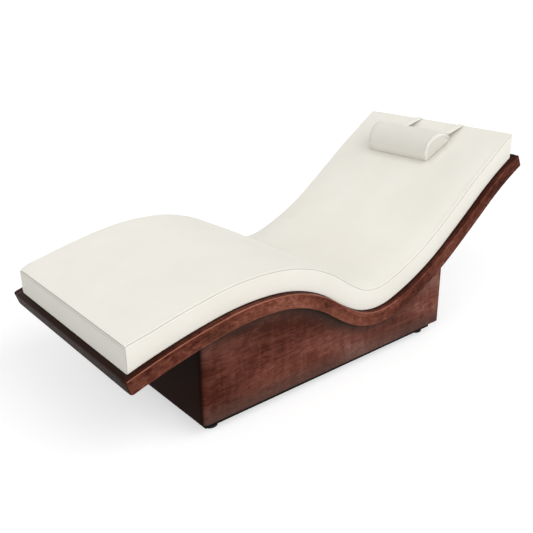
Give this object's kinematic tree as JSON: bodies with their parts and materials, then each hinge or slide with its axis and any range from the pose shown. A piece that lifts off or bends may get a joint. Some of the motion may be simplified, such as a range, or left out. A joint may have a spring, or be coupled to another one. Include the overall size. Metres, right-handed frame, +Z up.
{
  "type": "spa relaxation lounger",
  "caption": "Relaxation lounger: wave-shaped upholstered cushion in a bent wooden tray on a closed box base with levelling feet, and a half-round neck pillow on straps.",
  "frame": {"origin": "on the floor, under the middle of the overall length and width", "axes": "+X towards the head end, +Y towards the sitter's left side, +Z up"},
  "size_m": [1.7592, 0.762, 0.7159],
  "materials": {
    "vinyl": "satin",
    "foam_soft": "matte",
    "foam_firm": "matte",
    "black_cloth": "matte",
    "tape_white": "matte",
    "veneer": "satin",
    "veneer_panel": "satin",
    "plywood": "matte",
    "beech": "matte",
    "black_wood": "satin",
    "zinc_steel": "satin",
    "black_steel": "satin",
    "black_plastic": "matte"
  },
  "bodies": {
    "lounger": {"cushion_cover": "vinyl", "comfort_foam": "foam_soft", "firm_foam": "foam_firm", "bottom_cloth": "black_cloth", "cushion_loop_tapes": "tape_white", "deck_hook_tapes": "black_cloth", "strap_right": "vinyl", "strap_left": "vinyl", "strap_patches": "tape_white", "deck": "plywood", "side_rail_right": "veneer", "side_rail_left": "veneer", "foot_rail": "veneer", "head_rail": "veneer", "rail_dowels": "beech", "end_rail_dowels": "beech", "deck_screws": "zinc_steel", "side_panel_right": "veneer_panel", "side_panel_left": "veneer_panel", "foot_panel": "veneer_panel", "head_panel": "veneer_panel", "post_foot_right": "veneer_panel", "post_foot_left": "veneer_panel", "post_head_right": "veneer_panel", "post_head_left": "veneer_panel", "panel_dowels": "beech", "bearer_right": "plywood", "bearer_left": "plywood", "bulkhead_foot": "plywood", "bulkhead_head": "plywood", "bottom_board": "plywood", "cleat_right": "beech", "cleat_left": "beech", "bottom_screws": "zinc_steel", "plinth_runner_right": "black_wood", "plinth_runner_left": "black_wood", "plinth_cross_foot": "black_wood", "plinth_cross_head": "black_wood", "plinth_screws": "zinc_steel", "tee_nuts": "zinc_steel", "jam_nuts": "black_steel", "washers": "black_steel"},
    "pillow": {"pillow_cover": "vinyl", "pillow_base": "vinyl", "pillow_core": "foam_soft"},
    "pad_foot_right": {"pad_foot_right": "black_plastic"},
    "stud_foot_right": {"stud_foot_right": "zinc_steel"},
    "pad_foot_left": {"pad_foot_left": "black_plastic"},
    "stud_foot_left": {"stud_foot_left": "zinc_steel"},
    "pad_head_right": {"pad_head_right": "black_plastic"},
    "stud_head_right": {"stud_head_right": "zinc_steel"},
    "pad_head_left": {"pad_head_left": "black_plastic"},
    "stud_head_left": {"stud_head_left": "zinc_steel"}
  },
  "joints": [
    {"name": "pillow_slide", "type": "slide", "parent": "lounger", "child": "pillow", "axis": [0.8279, 0, 0.5609], "range_m": [-0.045, 0.012], "deforming": ["strap_right", "strap_left"]},
    {"name": "lift_foot_right", "type": "slide", "parent": "lounger", "child": "pad_foot_right", "axis": [0, 0, -1], "range_m": [0, 0.012]},
    {"name": "turn_foot_right", "type": "hinge", "parent": "pad_foot_right", "child": "stud_foot_right", "pos_m": [-0.572, -0.3, 0.03], "axis": [0, 0, -1], "range_deg": [0, 2469]},
    {"name": "lift_foot_left", "type": "slide", "parent": "lounger", "child": "pad_foot_left", "axis": [0, 0, -1], "range_m": [0, 0.012]},
    {"name": "turn_foot_left", "type": "hinge", "parent": "pad_foot_left", "child": "stud_foot_left", "pos_m": [-0.572, 0.3, 0.03], "axis": [0, 0, -1], "range_deg": [0, 2469]},
    {"name": "lift_head_right", "type": "slide", "parent": "lounger", "child": "pad_head_right", "axis": [0, 0, -1], "range_m": [0, 0.012]},
    {"name": "turn_head_right", "type": "hinge", "parent": "pad_head_right", "child": "stud_head_right", "pos_m": [0.394, -0.3, 0.03], "axis": [0, 0, -1], "range_deg": [0, 2469]},
    {"name": "lift_head_left", "type": "slide", "parent": "lounger", "child": "pad_head_left", "axis": [0, 0, -1], "range_m": [0, 0.012]},
    {"name": "turn_head_left", "type": "hinge", "parent": "pad_head_left", "child": "stud_head_left", "pos_m": [0.394, 0.3, 0.03], "axis": [0, 0, -1], "range_deg": [0, 2469]}
  ],
  "couplings": [
    {"joint": "turn_foot_right", "follows": "lift_foot_right", "rad_per_m": 3590.4},
    {"joint": "turn_foot_left", "follows": "lift_foot_left", "rad_per_m": 3590.4},
    {"joint": "turn_head_right", "follows": "lift_head_right", "rad_per_m": 3590.4},
    {"joint": "turn_head_left", "follows": "lift_head_left", "rad_per_m": 3590.4}
  ]
}
